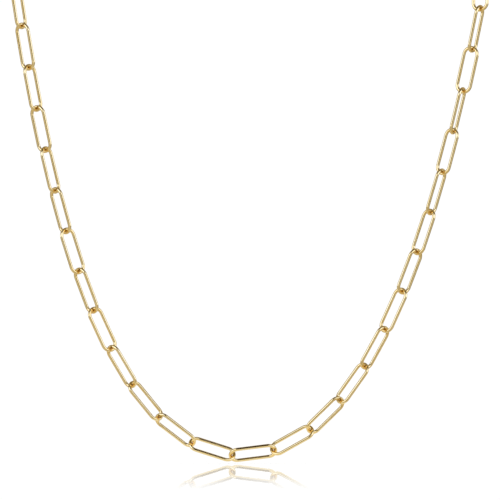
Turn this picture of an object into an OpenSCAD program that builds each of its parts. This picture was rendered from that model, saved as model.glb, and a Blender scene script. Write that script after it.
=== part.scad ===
// Paperclip chain necklace: a closed loop of long wire links with one plain clasp at the nape.
// Millimetres. +X is the viewer's right, +Y runs from the front drop to the nape, +Z is up.
// The origin is the middle of the clasp, where the necklace hangs.

/* [Links] */
// Thickness of the round wire
wire_d = 0.85; // [0.8:0.05:0.9]
// Outside width of a link
link_w = 4.65; // [4.45:0.1:4.85]
// Length that each link adds to the chain
pitch = 10.6; // [10.4:0.1:10.8]
// Clear space between two wires where they bear on each other
play = 0.19; // [0.16:0.01:0.24]

/* [Front drop] */
// Size of the hanging curve, larger for a rounder bottom
curve_size = 24; // [22:0.5:26]
// Place of the lowest point along the middle link, in links
curve_shift = -0.17; // [-0.4:0.01:0.4]
// Lean of the whole drop in its own plane, in degrees
curve_lean = -1.2; // [-2.5:0.1:2.5]
// Turn of each link about its own length from the plane of the drop, in degrees
link_turn = 45; // [42:1:46]

/* [Back] */
// Links on each side of the lowest joint
side_links = 21; // [21:1:22]
// Height of the nape above the highest joint of the front drop
nape_rise = 34; // [30:1:38]
// How far the strands keep climbing before they bend back
shoulder = 28; // [24:1:32]
// How far the chain runs level on each side of the nape
nape_run = 30; // [26:1:34]

/* [Clasp] */
// Length that the clasp adds to the chain
clasp_pitch = 11.8; // [11.4:0.1:12.4]
// Thickness of the clasp's body
clasp_wire_d = 1.2; // [1.1:0.05:1.3]
// Outside width of the clasp's body
clasp_w = 5.2; // [5:0.1:5.6]
// Thickness of the clasp's eye
eye_wire_d = 0.9; // [0.8:0.05:1]
// Outside diameter of the clasp's eye
eye_outer_d = 3.6; // [3.5:0.1:4]
// Length of the neck between the clasp's body and its eye
neck = 0.6; // [0.4:0.1:0.8]

/* [Hidden] */
$fn = 32;
gold_tone = [0.86, 0.72, 0.46];
link_count = 2 * side_links;
// Links of the plane front drop on each side of the lowest joint
drop_links = 13;
// Searches by halving: number of halvings, furthest that one link reaches along a curve, least and most depth
search_steps = 26;
longest_step = 0.4;
depth_range = [5, 90];
closing_error = 0.01;

// Extra turn of the links, as they chanced to hang: link number from the lowest joint, degrees
extra_turn = [
    [-21, -70],
    [-12, -3],
    [-9, -8],
    [-8, 5],
    [-7, 8],
    [-6, 3],
    [-5, 8],
    [-4, 4],
    [-3, -2],
    [-2, 1],
    [-1, 5],
    [0, -2],
    [1, 5],
    [2, -2],
    [3, -2],
    [4, 5],
    [7, -2],
    [8, 14],
    [9, 4],
    [10, 25],
    [11, 15],
    [12, 19],
    [20, 20],
];

function two_digits(i) = i < 10 ? str("0", i) : str(i);
function link_name(i) = str("link_", two_digits(i));

function unit(v) = v / norm(v);
function last(list) = list[len(list) - 1];
function reversed(list) = [for (i = [len(list) - 1 : -1 : 0]) list[i]];

// Front drop: link k hangs at the slope of a hanging chain, k counted from the lowest joint
function drop_angle(k) = atan((k + 0.5 + curve_shift) * pitch / curve_size) + curve_lean;
function drop_dir(k) = [cos(drop_angle(k)), 0, sin(drop_angle(k))];
drop_right_joints = [
    for (k = 0, p = [0, 0, 0]; k <= drop_links; p = p + pitch * drop_dir(k), k = k + 1) p
];
drop_left_joints = [
    for (k = 0, p = [0, 0, 0]; k <= drop_links; p = p - pitch * drop_dir(-k - 1), k = k + 1) p
];
top_right = last(drop_right_joints);
top_left = last(drop_left_joints);

// Back: each strand follows one smooth curve from the top of the drop to the nape
function bezier(c, t) =
    pow(1 - t, 3) * c[0] + 3 * pow(1 - t, 2) * t * c[1] + 3 * (1 - t) * t * t * c[2] + pow(t, 3) * c[3];
function nape(depth) = [(top_right.x + top_left.x) / 2, depth, max(top_right.z, top_left.z) + nape_rise];
function back_curve(start, climb, side, depth) = [
    start,
    start + shoulder * climb,
    nape(depth) + [side * nape_run, 0, 0],
    nape(depth),
];
// Place on the curve that is one link further on, found by halving
function next_t(c, from, low, high, steps) =
    let (middle = (low + high) / 2)
    steps == 0 ? middle
    : norm(bezier(c, middle) - from) < pitch ? next_t(c, from, middle, high, steps - 1)
    : next_t(c, from, low, middle, steps - 1);
function walk(c, count) = [
    for (i = 0, t = 0; i <= count; t = next_t(c, bezier(c, t), t, t + longest_step, search_steps), i = i + 1)
        bezier(c, t)
];
function right_back(depth) =
    walk(back_curve(top_right, drop_dir(drop_links - 0.5), 1, depth), side_links - drop_links);
function left_back(depth) =
    walk(back_curve(top_left, -drop_dir(-drop_links - 0.5), -1, depth), side_links - drop_links);

// Depth of the loop at which the clasp just fills what the links leave open
function open_gap(depth) =
    let (gap = last(right_back(depth)) - last(left_back(depth)))
    sign(gap.x) * norm(gap);
function fitted_depth(low, high, steps) =
    let (middle = (low + high) / 2)
    steps == 0 ? middle
    : open_gap(middle) < clasp_pitch ? fitted_depth(middle, high, steps - 1)
    : fitted_depth(low, middle, steps - 1);
loop_depth = fitted_depth(depth_range[0], depth_range[1], search_steps);
back_right_joints = right_back(loop_depth);
back_left_joints = left_back(loop_depth);
assert(abs(open_gap(loop_depth) - clasp_pitch) < closing_error, "the loop does not close at these sizes");

// All joints in order, from the clasp down the left strand and up the right one
clasp_middle = (last(back_right_joints) + last(back_left_joints)) / 2;
joints = [
    for (p = concat(
        reversed(back_left_joints),
        reversed([for (i = [0 : drop_links - 1]) drop_left_joints[i]]),
        [for (i = [1 : drop_links]) drop_right_joints[i]],
        [for (i = [1 : side_links - drop_links]) back_right_joints[i]]
    )) p - clasp_middle
];
function axis(i) = unit(joints[i] - joints[i - 1]);

// Facing direction of each link: forwards in the drop, then carried along the strand
function carried(facing, along) = unit(facing - (facing * along) * along);
function carried_on(axes) = [
    for (i = 0, f = [0, -1, 0]; i < len(axes); i = i + 1, f = i < len(axes) ? carried(f, axes[i]) : f) f
];
facing_right = carried_on([for (i = [side_links + 1 : link_count]) axis(i)]);
facing_left = carried_on([for (i = [side_links : -1 : 1]) axis(i)]);
function facing(i) = i > side_links ? facing_right[i - side_links - 1] : facing_left[side_links - i];

// Across direction of link i: it faces inwards and forwards in turn
function turn(i) = (i % 2 == 0 ? link_turn : -link_turn) + lookup(i - side_links - 1, extra_turn);
function across(i) =
    let (forward = carried(facing(i), axis(i)), inward = cross(forward, axis(i)))
    cos(turn(i)) * inward + sin(turn(i)) * forward;

// Sets its children down with X along a link and Y across it
module placed(middle, along, side) {
    up = cross(along, side);
    multmatrix([
        [along.x, side.x, up.x, middle.x],
        [along.y, side.y, up.y, middle.y],
        [along.z, side.z, up.z, middle.z],
    ]) children();
}

// Half ring of round wire, open towards -X
module half_ring(radius, wire) {
    rotate(-90) rotate_extrude(angle = 180) translate([radius, 0]) circle(d = wire);
}

// Round bar along X between two places
module bar(from_x, to_x, wire) {
    translate([from_x, 0, 0]) rotate([0, 90, 0]) cylinder(d = wire, h = to_x - from_x);
}

module chain_link(i) {
    bend_r = (link_w - wire_d) / 2;
    half_bar = (pitch + wire_d + play) / 2 - bend_r;
    color(gold_tone)
    placed((joints[i - 1] + joints[i]) / 2, axis(i), across(i)) {
        for (side = [-1, 1]) translate([0, side * bend_r, 0]) bar(-half_bar, half_bar, wire_d);
        for (end = [0, 180]) rotate(end) translate([half_bar, 0, 0]) half_ring(bend_r, wire_d);
    }
}

// Long closed hoop with a small round eye at its tail
module clasp() {
    along = unit(joints[0] - joints[link_count]);
    hoop_r = (clasp_w - clasp_wire_d) / 2;
    eye_r = (eye_outer_d - eye_wire_d) / 2;
    nose_x = -clasp_pitch / 2 - (clasp_wire_d + play) / 2 + hoop_r;
    eye_x = clasp_pitch / 2 + (eye_wire_d + play) / 2 - eye_r;
    tail_x = eye_x - eye_r - neck - hoop_r;
    color(gold_tone)
    placed([0, 0, 0], along, unit(cross(across(1), along))) {
        for (side = [-1, 1]) translate([0, side * hoop_r, 0]) bar(nose_x, tail_x, clasp_wire_d);
        translate([tail_x, 0, 0]) half_ring(hoop_r, clasp_wire_d);
        translate([nose_x, 0, 0]) rotate(180) half_ring(hoop_r, clasp_wire_d);
        translate([eye_x, 0, 0]) rotate_extrude() translate([eye_r, 0]) circle(d = eye_wire_d);
        bar(tail_x + hoop_r, eye_x - eye_r, eye_wire_d);
    }
}

for (i = [1 : link_count]) chain_link(i);
clasp();
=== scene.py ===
import bpy, math
import numpy as np
from mathutils import Matrix, Vector


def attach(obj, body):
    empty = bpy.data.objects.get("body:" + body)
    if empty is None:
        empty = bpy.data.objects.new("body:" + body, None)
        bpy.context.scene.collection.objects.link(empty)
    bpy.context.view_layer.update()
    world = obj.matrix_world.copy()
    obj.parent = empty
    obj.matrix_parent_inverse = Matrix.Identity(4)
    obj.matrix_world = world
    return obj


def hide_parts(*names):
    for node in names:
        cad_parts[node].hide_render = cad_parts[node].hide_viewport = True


# Paperclip chain necklace, hanging as worn. Metres: +X is the viewer's right, +Y goes back to the nape,
# +Z is up, and the clasp is at the origin. The CAD nodes give every link its place.

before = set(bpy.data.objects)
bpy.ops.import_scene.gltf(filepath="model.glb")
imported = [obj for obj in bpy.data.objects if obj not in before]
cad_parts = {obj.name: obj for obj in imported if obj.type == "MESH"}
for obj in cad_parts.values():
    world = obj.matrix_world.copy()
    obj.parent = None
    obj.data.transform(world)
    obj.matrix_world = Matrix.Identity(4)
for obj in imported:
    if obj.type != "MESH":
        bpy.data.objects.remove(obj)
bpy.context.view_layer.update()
linkNodes = sorted(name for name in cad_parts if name.startswith("link_"))

quarterTurn = math.pi / 2
mergeWithin = 0.000002    # points closer than this become one
sameWithin = 0.000001     # places closer than this count as the same


def deselectAll():
    if bpy.context.object and bpy.context.object.mode != "OBJECT":
        bpy.ops.object.mode_set(mode="OBJECT")
    bpy.ops.object.select_all(action="DESELECT")


def pickVerts(piece, wanted):
    # vertices of the piece whose place passes the test, selected in edit mode
    bpy.ops.object.mode_set(mode="OBJECT")
    for v in piece.data.vertices:
        v.select = wanted(v.co)
    for e in piece.data.edges:
        e.select = all(piece.data.vertices[i].select for i in e.vertices)
    for f in piece.data.polygons:
        f.select = all(piece.data.vertices[i].select for i in f.vertices)
    bpy.ops.object.mode_set(mode="EDIT")


def closeUp(piece):
    # merges the seams that spin and extrude leave, and points every face outwards
    bpy.ops.mesh.select_all(action="SELECT")
    bpy.ops.mesh.remove_doubles(threshold=mergeWithin)
    bpy.ops.mesh.normals_make_consistent(inside=False)
    bpy.ops.object.mode_set(mode="OBJECT")
    bpy.ops.object.shade_smooth()


def bakePlace(piece):
    # place, turn and size go into the mesh, so that the object sits at the origin
    deselectAll()
    piece.select_set(True)
    bpy.context.view_layer.objects.active = piece
    bpy.ops.object.transform_apply(location=True, rotation=True, scale=True)


def wireHoop(name, s, startX, endX):
    # closed hoop of round wire: along one side, round the end, back, and round the start
    deselectAll()
    bpy.ops.mesh.primitive_circle_add(
        vertices=s["sides"], radius=s["wireRadius"], fill_type="NOTHING",
        location=(startX, s["bendRadius"], 0), rotation=(0, quarterTurn, 0),
    )
    hoop = bpy.context.object
    hoop.name = name
    bakePlace(hoop)
    bpy.ops.object.mode_set(mode="EDIT")
    bpy.ops.mesh.select_all(action="SELECT")
    for fromX, toX in ((startX, endX), (endX, startX)):
        step = (toX - fromX) / s["barSteps"]
        for _ in range(s["barSteps"]):
            bpy.ops.mesh.extrude_region_move(TRANSFORM_OT_translate={"value": (step, 0, 0)})
        bpy.ops.mesh.spin(steps=s["bendSteps"], angle=math.pi, center=(toX, 0, 0), axis=(0, 0, 1))
    closeUp(hoop)
    return hoop


# level camera, straight from the front
view = {
    "lookAt": (-0.00081, -0.040014, -0.1009),
    "distance": 6.0,
    "frameWidth": 0.12625,
    "sensor": 36.0,
    "nearest": 0.05,
    "furthest": 50.0,
}


def makeCamera(s):
    x, y, z = s["lookAt"]
    bpy.ops.object.camera_add(location=(x, y - s["distance"], z), rotation=(quarterTurn, 0, 0))
    camera = bpy.context.object
    camera.name = "camera"
    camera.data.sensor_width = s["sensor"]
    camera.data.lens = s["sensor"] * s["distance"] / s["frameWidth"]
    camera.data.clip_start = s["nearest"]
    camera.data.clip_end = s["furthest"]
    camera.data.dof.use_dof = False
    bpy.context.scene.camera = camera


makeCamera(view)
print("camera ready")


linkGold = {
    "pale": (0.93, 0.785, 0.465, 1),
    "deep": (0.905, 0.722, 0.36, 1),
    "bendShadeTone": (0.93, 0.665, 0.25, 1),   # painted shade: a darker, warmer tone in the bends, where the links hang in each other
    "worn": (0.78, 0.56, 0.21, 1),      # dull film where the next link bears
    "toneNoise": (330, 2),              # scale and detail, as in the other noises
    "toneEdges": (0.3, 0.62),
    "polish": (0.09, 0.16),             # roughness of the best patches and the dullest
    "rubbedRoughness": 0.34,
    "polishNoise": (2600, 3),
    "polishEdges": (0.35, 0.7),
    "waveNoise": (900, 1),
    "waveHeight": 0.000004,
    "hairlineNoise": (5200, 4),
    "hairlineHeight": 0.0000006,
}

claspGold = dict(linkGold, pale=(0.93, 0.775, 0.45, 1), deep=(0.89, 0.7, 0.34, 1), waveHeight=0.000003)


def noiseOver(tree, place, size):
    noise = tree.nodes.new("ShaderNodeTexNoise")
    noise.inputs["Scale"].default_value, noise.inputs["Detail"].default_value = size
    tree.links.new(place, noise.inputs["Vector"])
    return noise.outputs["Fac"]


def wireAttribute(tree, name):
    attribute = tree.nodes.new("ShaderNodeAttribute")
    attribute.attribute_name = name
    return attribute.outputs["Fac"]


def turnInto(tree, kind, share, usual, changed):
    # the usual colour or number, which turns into the changed one as the share grows
    mix = tree.nodes.new("ShaderNodeMix")
    mix.data_type = kind
    tree.links.new(share, mix.inputs["Factor"])
    tree.links.new(usual, mix.inputs["A"])
    mix.inputs["B"].default_value = changed
    return mix.outputs["Result"]


def between(tree, value, edges, ends):
    # runs from one end to the other while the value goes from edge to edge
    ramp = tree.nodes.new("ShaderNodeMapRange")
    for socket, number in zip(("From Min", "From Max", "To Min", "To Max"), (*edges, *ends)):
        ramp.inputs[socket].default_value = number
    tree.links.new(value, ramp.inputs["Value"])
    return ramp.outputs["Result"]


def bumpOf(tree, relief, height):
    bump = tree.nodes.new("ShaderNodeBump")
    bump.inputs["Strength"].default_value = 1
    bump.inputs["Distance"].default_value = height
    tree.links.new(relief, bump.inputs["Height"])
    return bump


def polishedGold(name, s):
    m = bpy.data.materials.new(name)
    m.use_nodes = True
    tree = m.node_tree
    shader = tree.nodes["Principled BSDF"]
    shader.inputs["Metallic"].default_value = 1
    place = tree.nodes.new("ShaderNodeTexCoord").outputs["Object"]
    rubbed = wireAttribute(tree, "rubbed")

    # the gold's tone drifts a little along the chain; painted shade makes it darker and warmer in the
    # bends, and it is dull where they rub
    drift = tree.nodes.new("ShaderNodeValToRGB")
    for stop, edge, tone in zip(drift.color_ramp.elements, s["toneEdges"], (s["deep"], s["pale"])):
        stop.position = edge
        stop.color = tone
    tree.links.new(noiseOver(tree, place, s["toneNoise"]), drift.inputs["Fac"])
    toneAndShade = turnInto(tree, "RGBA", wireAttribute(tree, "bendShade"), drift.outputs["Color"], s["bendShadeTone"])
    tree.links.new(turnInto(tree, "RGBA", rubbed, toneAndShade, s["worn"]), shader.inputs["Base Color"])

    # mirror polish that is duller in patches, and duller still where the next link rubs
    polish = between(tree, noiseOver(tree, place, s["polishNoise"]), s["polishEdges"], s["polish"])
    duller = turnInto(tree, "FLOAT", rubbed, polish, s["rubbedRoughness"])
    tree.links.new(duller, shader.inputs["Roughness"])

    # hand polishing leaves the wire faintly wavy, with hairline scratches
    wavy = bumpOf(tree, noiseOver(tree, place, s["waveNoise"]), s["waveHeight"])
    scratched = bumpOf(tree, noiseOver(tree, place, s["hairlineNoise"]), s["hairlineHeight"])
    tree.links.new(wavy.outputs["Normal"], scratched.inputs["Normal"])
    tree.links.new(scratched.outputs["Normal"], shader.inputs["Normal"])
    return m


linkMetal = polishedGold("polished gold wire", linkGold)
claspMetal = polishedGold("polished clasp gold", claspGold)
print("gold ready")


# one link lies with X along it and Y across it
paperclipLink = {
    "wireRadius": 0.000425,
    "bendRadius": 0.0019,     # middle of the wire, from the middle of the link
    "halfBar": 0.00392,
    "sides": 28,
    "barSteps": 14,
    "bendSteps": 30,
    "seamSwell": 1.025,       # solder seam in the middle of one bar
    "rubbedFrom": 0.55,       # how far round the inside of a bend the wear reaches
    "rubbedFocus": 6,         # higher keeps the wear nearer to the middle of the bend
    "shadeFrom": 0.9,          # how far the painted shade comes up the wire's sides
    "shadeFade": 0.6,          # how much of the painted shade is lost where the bend is deepest
    "bearingGap": 0.00001,    # clear space left where two links hang in each other
    "slackRounds": 4,         # each round closes what the one before left open
    "crownSteps": 61,         # points compared round each bend
}


def bendWearAndShade(spot, s):
    # how rubbed the wire is at a spot on a link, and how much painted shade darkens and warms its tone
    past = abs(spot.x) - s["halfBar"]
    if past <= 0:
        return 0.0, 0.0
    fromBend = math.hypot(past, spot.y)
    depth = (s["bendRadius"] - fromBend) / s["wireRadius"]
    towardsCrown = past / fromBend
    rubbed = max(0.0, 1 - (1 - depth) / s["rubbedFrom"]) * towardsCrown ** s["rubbedFocus"]
    shaded = min(1.0, max(0.0, s["shadeFrom"] + depth)) * (1 - s["shadeFade"] * max(0.0, depth))
    return rubbed, shaded * towardsCrown


def makeLink(s):
    link = wireHoop("masterLink", s, -s["halfBar"], s["halfBar"])

    # solder seam: the middle ring of one bar stands a hair proud
    pickVerts(link, lambda spot: abs(spot.x) < sameWithin and spot.y > 0)
    swell = (1, s["seamSwell"], s["seamSwell"])
    bpy.ops.transform.resize(value=swell, center_override=(0, s["bendRadius"], 0))
    bpy.ops.object.mode_set(mode="OBJECT")

    # inside of both bends: painted shade, a darker, warmer tone, all round it; wear only where the
    # neighbours bear
    wearAndShade = [bendWearAndShade(v.co, s) for v in link.data.vertices]
    for name, amounts in zip(("rubbed", "bendShade"), zip(*wearAndShade)):
        link.data.attributes.new(name, "FLOAT", "POINT").data.foreach_set("value", amounts)
    link.data.materials.clear()
    link.data.materials.append(linkMetal)
    return link


def placeOf(node):
    # middle, length and width direction of a CAD node, from its own surface
    mesh = node.data
    centres = np.empty(len(mesh.polygons) * 3)
    areas = np.empty(len(mesh.polygons))
    mesh.polygons.foreach_get("center", centres)
    mesh.polygons.foreach_get("area", areas)
    centres = centres.reshape(-1, 3)
    middle = areas @ centres / areas.sum()
    spread = (centres - middle).T @ ((centres - middle) * areas[:, None])
    directions = np.linalg.eigh(spread)[1]
    return Vector(middle), Vector(directions[:, 2]), Vector(directions[:, 1])


def frameAt(middle, along, across):
    # carries a piece from where it was modelled to its place, X along and Y across
    up = along.cross(across)
    turn = Matrix((along, across, up)).transposed().to_4x4()
    return Matrix.Translation(middle) @ turn


def crownLine(place, s, end, pulledIn):
    # middle line of the wire round one end of a link
    middle, along, across = (np.array(v) for v in place)
    turn = np.linspace(-quarterTurn, quarterTurn, s["crownSteps"])[:, None]
    reach = s["halfBar"] - pulledIn + s["bendRadius"] * np.cos(turn)
    return middle + end * reach * along + s["bendRadius"] * np.sin(turn) * across


def takeUpSlack(places, s):
    # how far each end is pulled in so that the links bear on each other, as they hang
    pulled = np.zeros((len(places), 2))
    for _ in range(s["slackRounds"]):
        for i in range(len(places) - 1):
            lower = crownLine(places[i], s, 1, pulled[i, 1])
            upper = crownLine(places[i + 1], s, -1, pulled[i + 1, 0])
            nearest = np.linalg.norm(lower[:, None] - upper[None], axis=2).min()
            slack = nearest - 2 * s["wireRadius"] - s["bearingGap"]
            pulled[i, 1] += slack / 2
            pulled[i + 1, 0] += slack / 2
    return pulled


def linkPlaces():
    # every link's place, with its length pointing on along the chain and its width to the back
    places = []
    found = [placeOf(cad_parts[name]) for name in linkNodes]
    for i, (middle, along, across) in enumerate(found):
        ahead = found[min(i + 1, len(found) - 1)][0] - found[max(i - 1, 0)][0]
        along = -along if along.dot(ahead) < 0 else along
        across = -across if across.y < 0 else across
        places.append((middle, along, across))
    return places


def hangLinks(master, s):
    places = linkPlaces()
    pulled = takeUpSlack(places, s)
    for i, name in enumerate(linkNodes):
        link = master.copy()
        link.data = master.data.copy()
        link.name = "gold_" + name
        link.data.name = link.name
        for v in link.data.vertices:
            if abs(v.co.x) > s["halfBar"] - sameWithin:
                v.co.x -= pulled[i, 1] if v.co.x > 0 else -pulled[i, 0]
        link.data.transform(frameAt(*places[i]))
        bpy.context.collection.objects.link(link)
        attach(link, "root")
        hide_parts(name)
    bpy.data.objects.remove(master)


hangLinks(makeLink(paperclipLink), paperclipLink)
print("links hung:", len(linkNodes))


# the clasp is a long closed hoop that runs into a small eye
claspSizes = {
    "wireRadius": 0.0006,
    "bendRadius": 0.002,
    "noseX": -0.004595,       # middle of the bend at the far end
    "tailX": 0.001145,        # middle of the bend next to the eye
    "eyeX": 0.005095,
    "eyeRadius": 0.00135,
    "eyeWireRadius": 0.00045,
    "sides": 32,
    "barSteps": 1,
    "bendSteps": 28,
    "eyeSteps": 48,
    "eyeSides": 24,
    "blendVoxel": 0.00007,    # grain in which hoop, neck and eye are cast together
    "blendRounds": 14,        # more rounds make softer fillets
    "blendShare": 0.5,
}


def makeClasp(s):
    clasp = wireHoop("gold_clasp", s, s["noseX"], s["tailX"])

    # eye: a full ring of thinner wire, on a short neck
    deselectAll()
    bpy.ops.mesh.primitive_torus_add(
        major_radius=s["eyeRadius"], minor_radius=s["eyeWireRadius"],
        major_segments=s["eyeSteps"], minor_segments=s["eyeSides"], location=(s["eyeX"], 0, 0),
    )
    eye = bpy.context.object
    neckFrom = s["tailX"] + s["bendRadius"]
    neckTo = s["eyeX"] - s["eyeRadius"]
    bpy.ops.mesh.primitive_cylinder_add(
        vertices=s["eyeSides"], radius=s["eyeWireRadius"], depth=neckTo - neckFrom,
        location=((neckFrom + neckTo) / 2, 0, 0), rotation=(0, quarterTurn, 0),
    )
    neck = bpy.context.object
    deselectAll()
    for part in (clasp, eye, neck):
        part.select_set(True)
    bpy.context.view_layer.objects.active = clasp
    bpy.ops.object.join()

    # cast in one: the three run into each other with soft fillets
    blend = clasp.modifiers.new("castInOne", "REMESH")
    blend.mode = "VOXEL"
    blend.voxel_size = s["blendVoxel"]
    bpy.ops.object.modifier_apply(modifier=blend.name)
    soften = clasp.modifiers.new("soften", "SMOOTH")
    soften.factor = s["blendShare"]
    soften.iterations = s["blendRounds"]
    bpy.ops.object.modifier_apply(modifier=soften.name)
    bpy.ops.object.shade_smooth()
    clasp.data.materials.clear()
    clasp.data.materials.append(claspMetal)
    return clasp


def hangClasp(clasp):
    _, along, across = placeOf(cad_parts["clasp"])
    towardsFirst = placeOf(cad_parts["link_01"])[0]
    if along.dot(towardsFirst) < 0:
        along = -along
    clasp.data.transform(frameAt(Vector((0, 0, 0)), along, across))
    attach(clasp, "root")
    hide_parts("clasp")


hangClasp(makeClasp(claspSizes))
print("clasp hung")


studio = {
    "floorHeight": -0.1548,
    "floorSize": 30.0,
    "floorTone": (1, 1, 1),
    "glossTint": (0.95, 1, 1.1),   # keeps the mirror image of gold from going grey
    "floorShine": 0.58,            # share of a clear gloss's reflection
    "shineEnds": (-0.32, -0.7),    # the gloss wears off from here to here, towards the camera
    "floorIor": 1.03,              # so low that the gloss only shows along the table
    "matLift": 0.0001,             # how far the mats lie above the floor
    "skyTone": (1, 1, 1, 1),
    "skyStrength": 1.03,
}

# what the wire mirrors: boards round the necklace, each turned to face it
# degrees round from the camera, degrees up, distance, width, height, tone
boards = {
    "softboxRight": (70, 15, 1.2, 1.06, 0.75, (1.48, 1.6, 1.95)),
    "softboxLeft": (-66, 15, 1.2, 0.9, 0.75, (1.5, 1.62, 1.98)),
    "highRight": (37, 30, 1.15, 0.72, 0.62, (1.26, 1.33, 1.57)),
    "highLeft": (-37, 30, 1.15, 0.72, 0.62, (1.58, 1.69, 2.03)),
    "gapRight": (24, 2, 1.18, 0.7, 0.5, (0.4, 0.36, 0.29)),
    "gapLeft": (-24, 2, 1.18, 0.7, 0.5, (0.44, 0.4, 0.32)),
    "cameraStrip": (0, 34, 1.1, 0.4, 2.3, (0.025, 0.016, 0.008)),
    "topStrip": (0, 62, 1.05, 0.74, 1.0, (0.055, 0.036, 0.016)),
    "rightWall": (130, 38, 1.5, 2.6, 1.3, (0.44, 0.36, 0.22)),
    "leftWall": (-130, 38, 1.5, 2.6, 1.3, (0.38, 0.31, 0.19)),
    "rightEdge": (145, 8, 1.5, 1.4, 0.7, (0.48, 0.4, 0.27)),
    "leftEdge": (-140, 8, 1.5, 1.8, 0.7, (0.36, 0.3, 0.2)),
    "backWall": (180, 30, 1.6, 2.4, 1.5, (0.42, 0.35, 0.22)),
    "ceilingStrip": (180, 85, 1.5, 0.8, 2.2, (0.16, 0.12, 0.07)),
    "ceiling": (180, 80, 1.6, 3.0, 2.2, (0.36, 0.3, 0.2)),
    "highSideRight": (80, 48, 1.4, 1.2, 0.8, (0.26, 0.22, 0.15)),
    "highSideLeft": (-80, 50, 1.4, 1.2, 0.8, (0.4, 0.36, 0.28)),
}

# what lies on the table: middle, width and depth, tone
mats = {
    "matUnder": ((0, -0.035), (0.06, 0.03), (0.88, 0.83, 0.7)),
    "matNear": ((0, -0.175), (0.06, 0.25), (0.46, 0.4, 0.29)),
    "matNearRight": ((0.115, -0.17), (0.17, 0.26), (0.56, 0.51, 0.4)),
    "matNearLeft": ((-0.115, -0.17), (0.17, 0.26), (0.65, 0.6, 0.48)),
    "matUnderRight": ((0.08, 0.06), (0.1, 0.2), (0.66, 0.54, 0.33)),
    "matUnderLeft": ((-0.08, 0.06), (0.1, 0.2), (0.66, 0.54, 0.33)),
    "matFront": ((0, -0.7), (2.6, 0.8), (0.79, 0.73, 0.61)),
    "matRight": ((0.765, -0.17), (1.13, 0.26), (0.5, 0.46, 0.39)),
    "matRightRear": ((0.73, 0.09), (1.2, 0.26), (0.27, 0.24, 0.18)),
    "matLeft": ((-0.765, -0.17), (1.13, 0.26), (0.48, 0.44, 0.37)),
    "matLeftRear": ((-0.73, 0.09), (1.2, 0.26), (0.4, 0.37, 0.29)),
    "matBack": ((0, 0.8), (2.7, 1.16), (0.4, 0.34, 0.22)),
    "matBehind": ((0, 0.1), (0.06, 0.24), (0.6, 0.55, 0.42)),
}


def emptyPaint(name):
    # a material with nothing in it yet but its output
    m = bpy.data.materials.new(name)
    m.use_nodes = True
    m.node_tree.nodes.remove(m.node_tree.nodes["Principled BSDF"])
    return m


def floorPaint(s):
    m = emptyPaint("pale gloss floor")
    tree = m.node_tree
    add, link = tree.nodes.new, tree.links.new
    matt = add("ShaderNodeBsdfDiffuse")
    gloss = add("ShaderNodeBsdfGlossy")
    gloss.inputs["Roughness"].default_value = 0
    glance = add("ShaderNodeFresnel")
    glance.inputs["IOR"].default_value = s["floorIor"]
    place = add("ShaderNodeTexCoord")
    axes = add("ShaderNodeSeparateXYZ")
    link(place.outputs["Object"], axes.inputs["Vector"])
    wornOff = between(tree, axes.outputs["Y"], s["shineEnds"], (s["floorShine"], 0))
    share = add("ShaderNodeMath")
    share.operation = "MULTIPLY"
    link(glance.outputs["Fac"], share.inputs[0])
    link(wornOff, share.inputs[1])

    # what the gloss mirrors is taken off what the matt floor gives back
    mirrored = add("ShaderNodeVectorMath")
    mirrored.operation = "SCALE"
    mirrored.inputs["Vector"].default_value = s["glossTint"]
    link(share.outputs["Value"], mirrored.inputs["Scale"])
    link(mirrored.outputs["Vector"], gloss.inputs["Color"])
    kept = add("ShaderNodeVectorMath")
    kept.operation = "SUBTRACT"
    kept.inputs[0].default_value = s["floorTone"]
    link(mirrored.outputs["Vector"], kept.inputs[1])
    link(kept.outputs["Vector"], matt.inputs["Color"])
    both = add("ShaderNodeAddShader")
    link(matt.outputs["BSDF"], both.inputs[0])
    link(gloss.outputs["BSDF"], both.inputs[1])
    link(both.outputs["Shader"], tree.nodes["Material Output"].inputs["Surface"])
    return m


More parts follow.
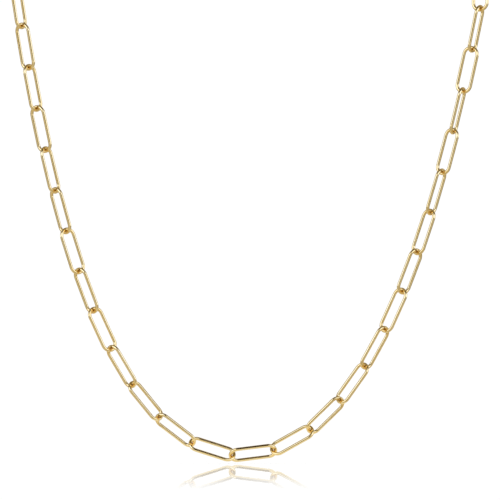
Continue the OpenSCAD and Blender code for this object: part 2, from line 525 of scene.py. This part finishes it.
def makeFloor(s):
    deselectAll()
    bpy.ops.mesh.primitive_plane_add(size=s["floorSize"], location=(0, 0, s["floorHeight"]))
    floor = bpy.context.object
    floor.name = "paleFloor"
    bakePlace(floor)
    floor.data.materials.append(floorPaint(s))


def boardPaint(name, tone):
    # shows only on its front, so that the floor doesn't mirror the back
    m = emptyPaint(name)
    tree = m.node_tree
    add, link = tree.nodes.new, tree.links.new
    front = add("ShaderNodeEmission")
    front.inputs["Color"].default_value = (*tone, 1)
    back = add("ShaderNodeBsdfTransparent")
    side = add("ShaderNodeNewGeometry")
    both = add("ShaderNodeMixShader")
    link(side.outputs["Backfacing"], both.inputs["Fac"])
    link(front.outputs["Emission"], both.inputs[1])
    link(back.outputs["BSDF"], both.inputs[2])
    link(both.outputs["Shader"], tree.nodes["Material Output"].inputs["Surface"])
    return m


def makeBoard(name, middle, turn, width, height, tone):
    deselectAll()
    bpy.ops.mesh.primitive_plane_add(size=1, location=middle, rotation=turn)
    board = bpy.context.object
    board.name = name
    board.scale = (width, height, 1)
    bakePlace(board)
    board.data.materials.append(boardPaint(name, tone))
    board.visible_camera = False
    board.visible_diffuse = False
    board.visible_shadow = False
    board.visible_transmission = False


def makeTent(boards, mats, s):
    necklace = Vector(view["lookAt"])
    for name, (around, up, distance, width, height, tone) in boards.items():
        flat = distance * math.cos(math.radians(up))
        away = Vector((
            flat * math.sin(math.radians(around)),
            -flat * math.cos(math.radians(around)),
            distance * math.sin(math.radians(up)),
        ))
        turn = (-away).to_track_quat("Z", "Y").to_euler()
        makeBoard(name, necklace + away, turn, width, height, tone)
    for name, ((x, y), (width, depth), tone) in mats.items():
        makeBoard(name, (x, y, s["floorHeight"] + s["matLift"]), (0, 0, 0), width, depth, tone)


def makeSky(s):
    world = bpy.data.worlds.new("white studio")
    bpy.context.scene.world = world
    world.use_nodes = True
    sky = world.node_tree.nodes["Background"]
    sky.inputs["Color"].default_value = s["skyTone"]
    sky.inputs["Strength"].default_value = s["skyStrength"]
    bpy.context.scene.view_settings.view_transform = "Standard"


makeFloor(studio)
makeTent(boards, mats, studio)
makeSky(studio)
print("studio ready")
